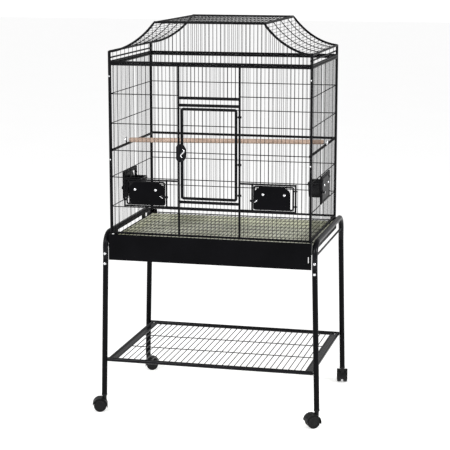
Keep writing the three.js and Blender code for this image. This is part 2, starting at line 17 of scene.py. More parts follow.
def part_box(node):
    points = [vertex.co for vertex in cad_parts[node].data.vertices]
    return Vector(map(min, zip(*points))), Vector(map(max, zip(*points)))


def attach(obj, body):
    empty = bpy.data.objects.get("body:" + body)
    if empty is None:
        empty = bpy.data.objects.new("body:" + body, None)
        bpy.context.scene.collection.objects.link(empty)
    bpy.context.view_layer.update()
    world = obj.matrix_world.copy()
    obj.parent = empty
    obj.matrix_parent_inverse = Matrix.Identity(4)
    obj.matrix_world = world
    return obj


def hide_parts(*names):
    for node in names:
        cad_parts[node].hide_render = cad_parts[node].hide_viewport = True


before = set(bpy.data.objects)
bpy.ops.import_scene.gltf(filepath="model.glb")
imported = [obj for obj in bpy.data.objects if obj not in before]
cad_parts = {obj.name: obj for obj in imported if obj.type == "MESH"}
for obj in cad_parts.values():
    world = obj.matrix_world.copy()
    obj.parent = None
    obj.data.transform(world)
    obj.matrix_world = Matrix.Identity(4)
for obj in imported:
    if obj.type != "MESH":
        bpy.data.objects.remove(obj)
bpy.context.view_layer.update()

# %% [markdown]
# ## One place to measure from
# The stand reaches further back than the cage, and the casters point every way, so the frame's
# origin is not under the middle of the cage. The middle is found from the two gables and the base
# frame, and `at` turns a place given in millimetres from there into the frame's metres.

# %% Find the middle of the cage
MM = 0.001
BASE_UNDERSIDE = 703
front_low, front_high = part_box("roof_front_gable")
back_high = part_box("roof_back_gable")[1]
base_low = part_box("base_frame")[0]
CENTRE = Vector((
    (front_low[0] + front_high[0]) / 2,
    (front_low[1] + back_high[1]) / 2,
    base_low[2] - BASE_UNDERSIDE * MM,
))


def at(x, y, z):
    return CENTRE + Vector((x, y, z)) * MM


print("middle of the cage:", [round(v, 4) for v in CENTRE])

# %% [markdown]
# ## The cage maker's sizes
# A cage is drawn from a few lines: where the corner posts stand, how high each rail is, and how far
# apart the bars are. Everything that follows is placed from these names. From FRAME_ROD down to
# CROSS_WIRE they are radii, and the end walls' bars are a touch thinner than the others.

# %% Driving sizes, in millimetres
HALF_WIDTH = 400
HALF_DEPTH = 285
SIDE_HALF = 276.4
FRAME_ROD = 4.5
LIGHT_ROD = 3.6
DOOR_ROD = 5.9
MID_ROD = 5.2
DOOR_LOOP = 5.6
BAR = 0.94
END_BAR = 0.74
CROSS_WIRE = 1.75
BOTTOM_RAIL = 757
TOP_RAIL = 1422
ROOF_RAIL = 1431
SIDE_BAR = 1448
EAVE = 1471
ROOF_TOP = 1586
ROOF_HALF = 215.5
ROOF_SPAN = 277.5
ROWS = (861.5, 979, 1085, 1191, 1307)
MID_RAIL = 1085
DOOR_POST = 121.5
CROSS_BARS = (865, 891, 1270, 1298)
FEEDER_HALF = 85.5
FEEDER_LOW = 868
FEEDER_HIGH = 972
FRONT_FEEDER_X = 257
SIDE_FEEDER_Y = 35
ROW_INSIDE = 2.2
BEAD = 1.35
random.seed(7)

# %% [markdown]
# ## Black powder coat
# Powder coat is a baked plastic skin. It is not quite black, it has a fine orange peel that breaks
# up its highlights, and dust settles on it in soft patches. One noise at skin scale drives the bump
# and the gloss, and a slow one shifts the colour a little.

# %% Shader helpers
def new_material(name):
    material = bpy.data.materials.new(name)
    material.use_nodes = True
    nodes = material.node_tree.nodes
    return material, nodes, material.node_tree.links, nodes["Principled BSDF"]


def noise(nodes, links, scale, detail=3.0, roughness=0.55, stretch=(1, 1, 1)):
    place = nodes.new("ShaderNodeTexCoord")
    mapping = nodes.new("ShaderNodeMapping")
    mapping.inputs["Scale"].default_value = stretch
    texture = nodes.new("ShaderNodeTexNoise")
    texture.inputs["Scale"].default_value = scale
    texture.inputs["Detail"].default_value = detail
    texture.inputs["Roughness"].default_value = roughness
    links.new(place.outputs["Object"], mapping.inputs["Vector"])
    links.new(mapping.outputs["Vector"], texture.inputs["Vector"])
    return texture.outputs["Fac"]


def ramp(nodes, links, source, stops):
    node = nodes.new("ShaderNodeValToRGB")
    elements = node.color_ramp.elements
    while len(elements) < len(stops):
        elements.new(0.5)
    for element, (place, colour) in zip(elements, stops):
        element.position = place
        element.color = (*colour, 1) if len(colour) == 3 else colour
    links.new(source, node.inputs["Fac"])
    return node.outputs["Color"]


def spread(nodes, links, source, low, high):
    node = nodes.new("ShaderNodeMapRange")
    node.inputs["To Min"].default_value = low
    node.inputs["To Max"].default_value = high
    links.new(source, node.inputs["Value"])
    return node.outputs["Result"]


def bump(nodes, links, shader, height, strength, distance):
    node = nodes.new("ShaderNodeBump")
    node.inputs["Strength"].default_value = strength
    node.inputs["Distance"].default_value = distance
    links.new(height, node.inputs["Height"])
    links.new(node.outputs["Normal"], shader.inputs["Normal"])


# %% Powder coat, for wire, for tube and for sheet
def powder_coat(name, dark, light, gloss_low, gloss_high, shine):
    material, nodes, links, shader = new_material(name)
    patches = noise(nodes, links, 9.0, 4.0)
    colour = ramp(nodes, links, patches, [(0.3, dark), (0.75, light)])
    links.new(colour, shader.inputs["Base Color"])
    peel = noise(nodes, links, 900.0, 2.0)
    links.new(spread(nodes, links, peel, gloss_low, gloss_high), shader.inputs["Roughness"])
    bump(nodes, links, shader, peel, 0.12, 0.0003)
    shader.inputs["Specular IOR Level"].default_value = shine
    return material


WIRE_DARK, WIRE_LIGHT = (0.002, 0.002, 0.003), (0.005, 0.005, 0.006)
TUBE_LIGHT = (0.005, 0.005, 0.007)
SHEET_DARK, SHEET_LIGHT = (0.0015, 0.0015, 0.002), (0.003, 0.003, 0.004)
satin_coat = powder_coat("satin powder coat", WIRE_DARK, WIRE_LIGHT, 0.36, 0.50, 0.08)
gloss_coat = powder_coat("gloss powder coat", WIRE_DARK, TUBE_LIGHT, 0.22, 0.34, 0.14)
# The legs wear the same coat as the arch tube. This copy is darker and less shiny so that the legs
# read as in shade: painted shade.
shaded_leg_coat = powder_coat("leg powder coat with painted shade", SHEET_DARK, SHEET_LIGHT, 0.30, 0.42, 0.07)
sheet_coat = powder_coat("sheet powder coat", SHEET_DARK, SHEET_LIGHT, 0.30, 0.42, 0.045)
print("coats:", satin_coat.name, gloss_coat.name, shaded_leg_coat.name, sheet_coat.name)

# %% [markdown]
# ## Bright zinc
# The screws are zinc plated: a clean metal with fine turning marks and a little cloudiness.

# %% Zinc plate
def zinc_plate():
    material, nodes, links, shader = new_material("bright zinc plate")
    cloud = noise(nodes, links, 160.0, 3.0)
    links.new(
        ramp(nodes, links, cloud, [(0.3, (0.60, 0.61, 0.63)), (0.8, (0.84, 0.84, 0.85))]),
        shader.inputs["Base Color"],
    )
    shader.inputs["Metallic"].default_value = 1.0
    links.new(spread(nodes, links, cloud, 0.16, 0.32), shader.inputs["Roughness"])
    marks = noise(nodes, links, 1400.0, 1.0)
    bump(nodes, links, shader, marks, 0.08, 0.0002)
    return material


zinc = zinc_plate()

# %% [markdown]
# ## Moulded plastics
# The seed cups are glossy black polystyrene, the casters a duller nylon with a leathery spark
# finish, and the tray a pale formed sheet whose colour is a greenish cream.

# %% Plastics
def moulded(name, dark, light, gloss, grain_scale, grain, patch_scale=14.0):
    material, nodes, links, shader = new_material(name)
    patches = noise(nodes, links, patch_scale, 4.0)
    colour = ramp(nodes, links, patches, [(0.3, dark), (0.75, light)])
    links.new(colour, shader.inputs["Base Color"])
    skin = noise(nodes, links, grain_scale, 3.0)
    links.new(spread(nodes, links, skin, *gloss), shader.inputs["Roughness"])
    bump(nodes, links, shader, skin, grain, 0.0004)
    shader.inputs["Specular IOR Level"].default_value = 0.2
    return material


cup_black = moulded(
    "cup polystyrene", (0.005, 0.005, 0.006), (0.010, 0.010, 0.012), (0.18, 0.3), 500.0, 0.05)
caster_nylon = moulded(
    "caster nylon", (0.004, 0.004, 0.004), (0.008, 0.008, 0.008), (0.4, 0.6), 1200.0, 0.25)
tray_cream = moulded(
    "tray cream", (0.78, 0.79, 0.63), (0.90, 0.91, 0.77), (0.42, 0.6), 350.0, 0.12, 6.0)

# %% [markdown]
# ## The timber perch
# A perch is a plain turned dowel. Its grain is long streaks that follow the dowel, so the noise is
# squeezed along the dowel's length, with fine dark pores on top.

# %% Perch timber
def perch_timber():
    material, nodes, links, shader = new_material("perch hardwood")
    streaks = noise(nodes, links, 60.0, 5.0, 0.6, (0.05, 1, 1))
    links.new(
        ramp(nodes, links, streaks, [
            (0.25, (0.36, 0.25, 0.19)), (0.5, (0.52, 0.38, 0.30)), (0.8, (0.66, 0.51, 0.42))]),
        shader.inputs["Base Color"],
    )
    pores = noise(nodes, links, 420.0, 2.0, 0.5, (0.03, 1, 1))
    links.new(spread(nodes, links, pores, 0.5, 0.75), shader.inputs["Roughness"])
    bump(nodes, links, shader, pores, 0.3, 0.0004)
    return material


timber = perch_timber()
print("finishes ready:", len(bpy.data.materials))

# %% [markdown]
# ## Drawing wire
# A welded wire is a round section swept along a path, a touch fatter at each end where the weld
# flows up it. Blender's curves could do this, but a swept mesh lets one object hold a whole panel
# of bars, keeps the ring count low, and flares each end for the weld.

# %% A tool that sweeps round sections
def section_ring(mesh, centre, across, up, radius, sides):
    ring = []
    for i in range(sides):
        angle = 2 * math.pi * i / sides
        way = across * math.cos(angle) + up * math.sin(angle)
        ring.append(mesh.verts.new(centre + way * radius))
    return ring


def sweep(mesh, points, radii, sides):
    points = [Vector(point) for point in points]
    way = (points[1] - points[0]).normalized()
    helper = Vector((0, 0, 1)) if abs(way.z) < 0.9 else Vector((0, 1, 0))
    across = way.cross(helper).normalized()
    rings = []
    for i, point in enumerate(points):
        back = points[max(i - 1, 0)]
        ahead = points[min(i + 1, len(points) - 1)]
        way = (ahead - back).normalized()
        across = (across - way * across.dot(way)).normalized()
        rings.append(section_ring(mesh, point, across, way.cross(across), radii[i], sides))
    for one, two in zip(rings, rings[1:]):
        for i in range(sides):
            j = (i + 1) % sides
            mesh.faces.new((one[i], one[j], two[j], two[i]))
    mesh.faces.new(list(reversed(rings[0])))
    mesh.faces.new(rings[-1])


def finish_mesh(name, mesh, material, smooth=True):
    bmesh.ops.recalc_face_normals(mesh, faces=mesh.faces)
    data = bpy.data.meshes.new(name)
    mesh.to_mesh(data)
    mesh.free()
    for face in data.polygons:
        face.use_smooth = smooth
    piece = bpy.data.objects.new(name, data)
    bpy.context.collection.objects.link(piece)
    data.materials.append(material)
    if smooth:
        data.set_sharp_from_angle(angle=math.radians(40))
    return piece


def rods(name, runs, radius, material, sides=10, weld=0.0):
    """Each run is a list of points in the frame; weld flares its ends by that share."""
    mesh = bmesh.new()
    for run in runs:
        points = [Vector(point) for point in run]
        radii = [radius * MM] * len(points)
        if weld:
            step = 2.5 * MM
            first = (points[1] - points[0]).normalized() * step
            last = (points[-2] - points[-1]).normalized() * step
            points = [points[0], points[0] + first, *points[1:-1], points[-1] + last, points[-1]]
            flared = radius * (1 + weld) * MM
            radii = [flared, *[radius * MM] * (len(points) - 2), flared]
        sweep(mesh, points, radii, sides)
    return finish_mesh(name, mesh, material)


def keep(piece, body, *nodes, slot="black_coat"):
    """Fixes a piece to its body and hides the solids it stands for; slot is not used."""
    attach(piece, body)
    if nodes:
        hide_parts(*nodes)
    return piece


def between(start, end, bays):
    return [start + (end - start) * i / bays for i in range(1, bays)]


# %% [markdown]
# ## Welds
# Every crossing on a cage panel is a resistance weld: the two wires sink into each other and leave
# a small bead. A squashed ball with few faces is enough, and one object holds a panel's beads.

# %% Weld beads
def beads(name, places, size, material, body):
    mesh = bmesh.new()
    for place in places:
        ball = bmesh.ops.create_icosphere(mesh, subdivisions=1, radius=size * MM)
        bmesh.ops.translate(mesh, verts=ball["verts"], vec=place)
    return keep(finish_mesh(name, mesh, material), body)


# %% [markdown]
# ## A wall of bars
# All four walls are made the same way: heavy posts and rails, upright bars between them, and cross
# wires just inside the bars. `wall_place` turns a wall's own coordinates, with x along the wall and
# y inwards, into the frame, so one recipe draws every wall. `outer_frame` draws the posts and the
# top and bottom rails, and `bar_runs` stops the bars at a feeder opening.

# %% Walls
def wall_place(degrees, x0, y0):
    turn = Matrix.Rotation(math.radians(degrees), 3, "Z")

    def place(x, y, z):
        spot = turn @ Vector((x, y, 0))
        return at(spot.x + x0, spot.y + y0, z)

    return place


def feeder_runs(place, centre):
    low, high = FEEDER_LOW, FEEDER_HIGH
    left, right = centre - FEEDER_HALF, centre + FEEDER_HALF
    runs = [[place(x, 0, low - LIGHT_ROD), place(x, 0, high + LIGHT_ROD)] for x in (left, right)]
    return runs + [[place(left, 0, z), place(right, 0, z)] for z in (low, high)]


def square_loop(place, left, right, low, high, corner=6, steps=3):
    """A closed bent-wire loop with rounded corners, as the points of one run."""
    points = []
    for cx, cz, quarter in (
        (right - corner, high - corner, 0), (left + corner, high - corner, 1),
        (left + corner, low + corner, 2), (right - corner, low + corner, 3),
    ):
        for i in range(steps + 1):
            angle = math.pi / 2 * (quarter + i / steps)
            points.append(place(cx + corner * math.cos(angle), 0, cz + corner * math.sin(angle)))
    middle = (points[0] + points[-1]) / 2
    return [middle, *points, middle]


def bar_runs(place, xs, low, high, feeders=()):
    runs = []
    for x in xs:
        feeder = next((c for c in feeders if abs(x - c) < FEEDER_HALF + LIGHT_ROD), None)
        if feeder is None:
            runs.append([place(x, 0, low), place(x, 0, high)])
        elif abs(x - feeder) < FEEDER_HALF - 5.6:
            runs.append([place(x, 0, low), place(x, 0, FEEDER_LOW)])
            runs.append([place(x, 0, FEEDER_HIGH), place(x, 0, high)])
    return runs


def crossings(place, xs, z):
    return [place(x, ROW_INSIDE / 2, z) for x in xs]


def outer_frame(place, post_xs, half):
    low, high = BOTTOM_RAIL - FRAME_ROD, TOP_RAIL + FRAME_ROD
    posts = [[place(x, 0, low), place(x, 0, high)] for x in post_xs]
    rails = [[place(-half, 0, z), place(half, 0, z)] for z in (BOTTOM_RAIL, TOP_RAIL)]
    return posts + rails


# %% [markdown]
# ## The front wall
# The front has two posts that frame the main door, two cross bars above and two below the opening,
# and a feeder opening low on each side. The light rows stop at the door posts.

# %% Front wall
front = wall_place(0, 0, -HALF_DEPTH)
left_bars = between(-HALF_WIDTH, -DOOR_POST, 17)
right_bars = [-x for x in left_bars]
door_bars = between(-DOOR_POST, DOOR_POST, 15)


def front_wall():
    heavy = outer_frame(front, (-HALF_WIDTH, -DOOR_POST, DOOR_POST, HALF_WIDTH), HALF_WIDTH)
    keep(rods("front_posts", heavy, FRAME_ROD, satin_coat, 14), "cage", "front_panel")
    cross = [[front(-DOOR_POST, 0, z), front(DOOR_POST, 0, z)] for z in CROSS_BARS]
    keep(rods("front_cross_bars", cross, DOOR_ROD, satin_coat, 12, 0.15), "cage")
    light = []
    for side in (-1, 1):
        light += feeder_runs(front, side * FRONT_FEEDER_X)
        ends = (side * DOOR_POST, side * (FRONT_FEEDER_X - FEEDER_HALF))
        light += [[front(x, 0, z) for x in ends] for z in (FEEDER_LOW, FEEDER_HIGH)]
    keep(rods("front_opening_rods", light, LIGHT_ROD, satin_coat, 12, 0.2), "cage")
    bars = bar_runs(front, left_bars, BOTTOM_RAIL, TOP_RAIL, [-FRONT_FEEDER_X])
    bars += bar_runs(front, right_bars, BOTTOM_RAIL, TOP_RAIL, [FRONT_FEEDER_X])
    bars += bar_runs(front, door_bars, BOTTOM_RAIL, CROSS_BARS[0])
    bars += bar_runs(front, door_bars, CROSS_BARS[3], TOP_RAIL)
    keep(rods("front_bars", bars, BAR, satin_coat, 8, 0.6), "cage")
    rows = []
    welds = []
    for side, xs in ((-1, left_bars), (1, right_bars)):
        for z in ROWS:
            ends = (side * HALF_WIDTH, side * DOOR_POST)
            rows.append([front(x, ROW_INSIDE, z) for x in ends])
            welds += crossings(front, xs, z)
    keep(rods("front_rows", rows, CROSS_WIRE, satin_coat, 8, 0.4), "cage")
    beads("front_welds", welds, BEAD, satin_coat, "cage")
    return len(bars), len(welds)


print("front wall bars and welds:", front_wall())

# %% [markdown]
# ## The back and the two ends
# The other walls are plainer: one field of bars with a heavy rail at half height. The ends each
# have a feeder opening, and their half-height rail lies inside, just under the perch.

# %% Back and ends
def plain_wall(name, node, place, half, bays, feeders, rail_side, bar=BAR):
    heavy = outer_frame(place, (-half, half), half)
    keep(rods(f"{name}_posts", heavy, FRAME_ROD, satin_coat, 14), "cage", node)
    rail_y = rail_side * (MID_ROD + 0.2)
    rail = [[place(-half, rail_y, MID_RAIL), place(half, rail_y, MID_RAIL)]]
    keep(rods(f"{name}_mid_rail", rail, MID_ROD, satin_coat, 12), "cage")
    if feeders:
        runs = [run for centre in feeders for run in feeder_runs(place, centre)]
        keep(rods(f"{name}_opening_rods", runs, LIGHT_ROD, satin_coat, 12), "cage")
    xs = between(-half, half, bays)
    runs = bar_runs(place, xs, BOTTOM_RAIL, TOP_RAIL, feeders)
    keep(rods(f"{name}_bars", runs, bar, satin_coat, 8, 0.6), "cage")
    rows = [z for z in ROWS if z != MID_RAIL]
    runs = [[place(-half, ROW_INSIDE, z), place(half, ROW_INSIDE, z)] for z in rows]
    keep(rods(f"{name}_rows", runs, CROSS_WIRE, satin_coat, 8, 0.4), "cage")
    welds = [spot for z in rows for spot in crossings(place, xs, z)]
    beads(f"{name}_welds", welds, BEAD, satin_coat, "cage")


back = wall_place(180, 0, HALF_DEPTH)
left_end = wall_place(-90, -HALF_WIDTH, 0)
right_end = wall_place(90, HALF_WIDTH, 0)
plain_wall("back", "back_panel", back, HALF_WIDTH, 50, [], -1)
plain_wall("left_end", "left_panel", left_end, SIDE_HALF, 34, [SIDE_FEEDER_Y], 1, END_BAR)
plain_wall("right_end", "right_panel", right_end, SIDE_HALF, 34, [SIDE_FEEDER_Y], 1, END_BAR)

# %% [markdown]
# ## Screws at the corners
# The walls are flat when packed and are screwed together at the corners. Two domed screws sit on
# each corner post. A dome is a turned profile, so it is spun from a short outline.

# %% Turned parts
def turned(name, outline, origin, axis, material, steps=24, smooth=True):
    """Spins (radius, height) pairs, in millimetres, about an axis through origin."""
    mesh = bmesh.new()
    axis = Vector(axis).normalized()
    turn = Vector((0, 0, 1)).rotation_difference(axis).to_matrix()
    rings = []
    for radius, height in outline:
        if radius < 1e-6:
            rings.append([mesh.verts.new(origin + axis * height * MM)])
            continue
        ring = []
        for i in range(steps):
            angle = 2 * math.pi * i / steps
            spot = Vector((radius * math.cos(angle), radius * math.sin(angle), height)) * MM
            ring.append(mesh.verts.new(origin + turn @ spot))
        rings.append(ring)
    for one, two in zip(rings, rings[1:]):
        for i in range(steps):
            j = (i + 1) % steps
            if len(one) == 1 and len(two) > 1:
                mesh.faces.new((one[0], two[i], two[j]))
            elif len(two) == 1 and len(one) > 1:
                mesh.faces.new((one[i], one[j], two[0]))
            elif len(one) > 1:
                mesh.faces.new((one[i], one[j], two[j], two[i]))
    return finish_mesh(name, mesh, material, smooth)


DOME = ((0, 0), (5.8, 0), (6.0, 0.6), (5.6, 1.6), (4.6, 2.9), (3.0, 3.9), (1.4, 4.35), (0, 4.4))
SMALL_DOME = ((0, 0), (3.4, 0), (3.5, 0.5), (3.0, 1.5), (1.9, 2.2), (0, 2.5))


SIDES = (-1, 1)
SCREW_HEIGHTS = (1376, 1049)


def corner_screws():
    places = [(x_side, y_side, z) for x_side in SIDES for y_side in SIDES for z in SCREW_HEIGHTS]
    for i, (x_side, y_side, z) in enumerate(places):
        spot = at(x_side * (HALF_WIDTH - 1), y_side * (HALF_DEPTH + FRAME_ROD - 0.4), z)
        screw = turned(f"corner_screw_{i}", SMALL_DOME, spot, (0, y_side, 0), zinc, 16)
        keep(screw, "cage", slot="bright_steel")
    return len(places)


print("corner screws:", corner_screws())

# %% [markdown]
# ## The roof
# The roof is a lid with its own bottom rail. Its ends sweep up in a hollow curve to a flat deck.
# The front and back gables are flat fields of bars cut off by that curve, and the two curved ends
# carry cross bars and three long ribs. Below the curve each end is open between its rails.

# %% Roof curve
def roof_point(side, y, t, lift=0.0, inset=0.0):
    corners = (
        (HALF_WIDTH, EAVE + lift),
        (330, EAVE + 6 + lift),
        (258 + lift * 0.6, 1527 + lift * 0.8),
        (ROOF_HALF + lift * 0.8 + inset, ROOF_TOP + lift * 0.4 - inset),
    )
    weights = ((1 - t) ** 3, 3 * t * (1 - t) ** 2, 3 * t * t * (1 - t), t ** 3)
    x = sum(w * c[0] for w, c in zip(weights, corners))
    z = sum(w * c[1] for w, c in zip(weights, corners))
    return at(side * x, y, z)


def roof_run(side, y, lift=0.0, inset=0.0, steps=18):
    return [roof_point(side, y, i / steps, lift, inset) for i in range(steps + 1)]


def roof_height(x):
    if abs(x) <= ROOF_HALF:
        return ROOF_TOP
    target = abs(x) * MM + CENTRE.x
    low, high = 0.0, 1.0
    for _ in range(40):
        middle = (low + high) / 2
        if roof_point(1, 0, middle).x > target:
            low = middle
        else:
            high = middle
    return (roof_point(1, 0, low).z - CENTRE.z) / MM


# %% Gables
def post_end(x, y):
    """The short piece of corner post between the roof's rail and its eave."""
    return [at(x, y, ROOF_RAIL - FRAME_ROD), at(x, y, EAVE + 2)]


def gable(name, node, y):
    heavy = [[at(-HALF_WIDTH, y, ROOF_RAIL), at(HALF_WIDTH, y, ROOF_RAIL)]]
    heavy += [post_end(side * HALF_WIDTH, y) for side in SIDES]
    heavy.append(roof_run(-1, y) + list(reversed(roof_run(1, y))))
    keep(rods(f"{name}_frame", heavy, FRAME_ROD, satin_coat, 14), "cage", node)
    xs = between(-HALF_WIDTH, HALF_WIDTH, 50)
    bars = [[at(x, y, ROOF_RAIL), at(x, y, roof_height(x))] for x in xs]
    keep(rods(f"{name}_bars", bars, BAR, satin_coat, 8, 0.6), "cage")


gable("front_gable", "roof_front_gable", -HALF_DEPTH)
gable("back_gable", "roof_back_gable", HALF_DEPTH)

# %% Curved ends and deck
RIBS = (-ROOF_SPAN / 2, 0, ROOF_SPAN / 2)


def roof_end(name, node, side):
    x = side * HALF_WIDTH
    heavy = [[at(x, -SIDE_HALF, z), at(x, SIDE_HALF, z)] for z in (ROOF_RAIL, EAVE)]
    heavy += [post_end(x, y) for y in (-SIDE_HALF, SIDE_HALF)]
    keep(rods(f"{name}_frame", heavy, FRAME_ROD, satin_coat, 14), "cage", node)
    light = [[at(x - side * 4.2, -SIDE_HALF, SIDE_BAR), at(x - side * 4.2, SIDE_HALF, SIDE_BAR)]]
    light += [roof_run(side, y, 0, 3.6) for y in (-ROOF_SPAN, ROOF_SPAN)]
    top_x = side * (ROOF_HALF + 3.5)
    light.append([at(top_x, -ROOF_SPAN, ROOF_TOP - 1), at(top_x, ROOF_SPAN, ROOF_TOP - 1)])
    keep(rods(f"{name}_edges", light, 3.3, satin_coat, 12), "cage")
    edges = (-ROOF_SPAN, ROOF_SPAN)
    wires = [[roof_point(side, y, i / 15, 0, 3.6) for y in edges] for i in range(1, 15)]
    keep(rods(f"{name}_wires", wires, BAR, satin_coat, 8, 0.6), "cage")
    ribs = [roof_run(side, y, 2.6, 2) for y in RIBS]
    keep(rods(f"{name}_ribs", ribs, 1.7, satin_coat, 8), "cage")


def roof_deck():
    half = ROOF_HALF - 3
    edge = [[at(-half, y, ROOF_TOP), at(half, y, ROOF_TOP)] for y in (-ROOF_SPAN, ROOF_SPAN)]
    edge += [[at(x, -ROOF_SPAN, ROOF_TOP), at(x, ROOF_SPAN, ROOF_TOP)] for x in (-half, half)]
    keep(rods("deck_edges", edge, 3.4, satin_coat, 12), "cage", "roof_deck")
    xs = between(-half, half, 27)
    wires = [[at(x, -ROOF_SPAN, ROOF_TOP), at(x, ROOF_SPAN, ROOF_TOP)] for x in xs]
    wires += [[at(-half, y, ROOF_TOP - 2.3), at(half, y, ROOF_TOP - 2.3)] for y in RIBS]
    keep(rods("deck_wires", wires, 1.3, satin_coat, 8, 0.4), "cage")


roof_end("left_roof", "roof_left_curve", -1)
roof_end("right_roof", "roof_right_curve", 1)
roof_deck()

# %% [markdown]
# ## Plates
# The base frame, the tray and its tall front are sheet metal or formed plastic. Their CAD solids
# already have the right shape, so they keep it, and a small bevel with smooth shading gives their
# edges the soft line that folding and coating leave.

# %% Sheet parts kept from the frame
def dress(node, material, width=0.6, segments=2):
    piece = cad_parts[node]
    piece.data.materials.clear()
    piece.data.materials.append(material)
    bevel = piece.modifiers.new("soft edges", "BEVEL")
    bevel.width = width * MM
    bevel.segments = segments
    bevel.limit_method = "ANGLE"
    bevel.angle_limit = math.radians(35)
    bevel.harden_normals = True
    return piece


for node in ("base_frame", "tray_front"):
    dress(node, sheet_coat, 0.8)
for node in ("tray", "tray_rim"):
    dress(node, tray_cream, 0.5, 2)

# %% [markdown]
# ## The grate
# The floor grate is welded like a wall lying down: close wires from front to back over a few cross
# wires, inside a rod loop, with four short tabs that lie on the tray's rim.

# %% Grate
GRATE_X, GRATE_Y, GRATE_Z = 392, 278, 740


def grate():
    corners = ((-1, -1), (1, -1), (1, 1), (-1, 1), (-1, -1))
    loop = [[at(x * GRATE_X, y * GRATE_Y, GRATE_Z) for x, y in corners]]
    for y in (-200, 200):
        for side in (-1, 1):
            loop.append([
                at(side * GRATE_X, y, GRATE_Z), at(side * (GRATE_X + 4), y, GRATE_Z - 3.4),
                at(side * (GRATE_X + 8), y, GRATE_Z - 4)])
    keep(rods("grate_loop", loop, 2.3, satin_coat, 12), "grate", "grate")
    xs = between(-GRATE_X, GRATE_X, 49)
    ys = between(-GRATE_Y, GRATE_Y, 8)
    wires = [[at(x, -GRATE_Y, GRATE_Z), at(x, GRATE_Y, GRATE_Z)] for x in xs]
    wires += [[at(-GRATE_X, y, GRATE_Z - 2.2), at(GRATE_X, y, GRATE_Z - 2.2)] for y in ys]
    keep(rods("grate_wires", wires, 1.05, satin_coat, 8, 0.5), "grate")
    return len(wires)


print("grate wires:", grate())

# %% [markdown]
# ## The main door
# The door is a bent-rod loop filled with bars on the same pitch as the wall. It hangs from the
# right-hand door post by three eyes bent round the post, so it swings outwards.

# %% Main door
DOOR_HALF, DOOR_LOW, DOOR_HIGH = 107.5, 906, 1255
EYES = (925, 1045, 1229)
LATCH_X, LATCH_Z = -103, 1084


def ring_run(place, x, z, radius, steps=20):
    angles = [2 * math.pi * i / steps for i in range(steps + 1)]
    return [place(x + radius * math.cos(a), radius * math.sin(a), z) for a in angles]


def main_door():
    loop = [square_loop(front, -DOOR_HALF, DOOR_HALF, DOOR_LOW, DOOR_HIGH, 5)]
    keep(rods("door_loop", loop, DOOR_LOOP, satin_coat, 14), "main_door", "main_door")
    xs = between(-DOOR_HALF, DOOR_HALF, 13)
    rows = ROWS[1:4]
    bars = [[front(x, 0, DOOR_LOW), front(x, 0, DOOR_HIGH)] for x in xs]
    keep(rods("door_bars", bars, BAR, satin_coat, 8, 0.6), "main_door")
    across = [[front(-DOOR_HALF, ROW_INSIDE, z), front(DOOR_HALF, ROW_INSIDE, z)] for z in rows]
    keep(rods("door_rows", across, CROSS_WIRE, satin_coat, 8, 0.4), "main_door")
    welds = [front(x, 1.0, z) for z in rows for x in xs]
    beads("door_welds", welds, BEAD, satin_coat, "main_door")
    eyes = []
    for z in EYES:
        for lift in (-2.6, 0, 2.6):
            eyes.append(ring_run(front, DOOR_POST, z + lift, 6.3))
        eyes.append([front(DOOR_HALF, 0, z), front(DOOR_POST - 5.4, 0, z)])
    keep(rods("door_eyes", eyes, 1.4, satin_coat, 8), "main_door")


main_door()

# %% [markdown]
# ## The door latch
# A turning latch holds the door: a D-shaped plate in two halves, one on the post and one on the
# door, and on the door's half a boss with an S-shaped thumb lever.
# The lever is a bright swept bar that thins towards its tips, so it catches the light.

# %% Latch
def flat_plate(name, outline, near, far, place, material, rim=1.0):
    """An upright plate from an outline in x and z, with rounded rims on both faces."""
    mesh = bmesh.new()
    fronts = [mesh.verts.new(place(x, near, z)) for x, z in outline]
    backs = [mesh.verts.new(place(x, far, z)) for x, z in outline]
    mesh.faces.new(fronts)
    mesh.faces.new(list(reversed(backs)))
    for i in range(len(outline)):
        j = (i + 1) % len(outline)
        mesh.faces.new((fronts[j], fronts[i], backs[i], backs[j]))
    piece = finish_mesh(name, mesh, material, False)
    bevel = piece.modifiers.new("rolled rim", "BEVEL")
    bevel.width = rim * MM
    bevel.segments = 3
    bevel.limit_method = "ANGLE"
    bevel.angle_limit = math.radians(35)
    for face in piece.data.polygons:
        face.use_smooth = True
    piece.data.set_sharp_from_angle(angle=math.radians(50))
    return piece


def arc(cx, cz, radius, start, end, steps):
    return [
        (cx + radius * math.cos(math.radians(start + (end - start) * i / steps)),
         cz + radius * math.sin(math.radians(start + (end - start) * i / steps)))
        for i in range(steps + 1)
    ]


LATCH_SPLIT, LATCH_WIDE, LATCH_TALL = -112.2, 23.4, 36
LATCH_GAP = 0.3
LATCH_BOSS = ((0, 0), (11, 0), (11.5, 0.8), (11, 2.2), (9, 3.4), (6, 4.0), (0, 4.2))


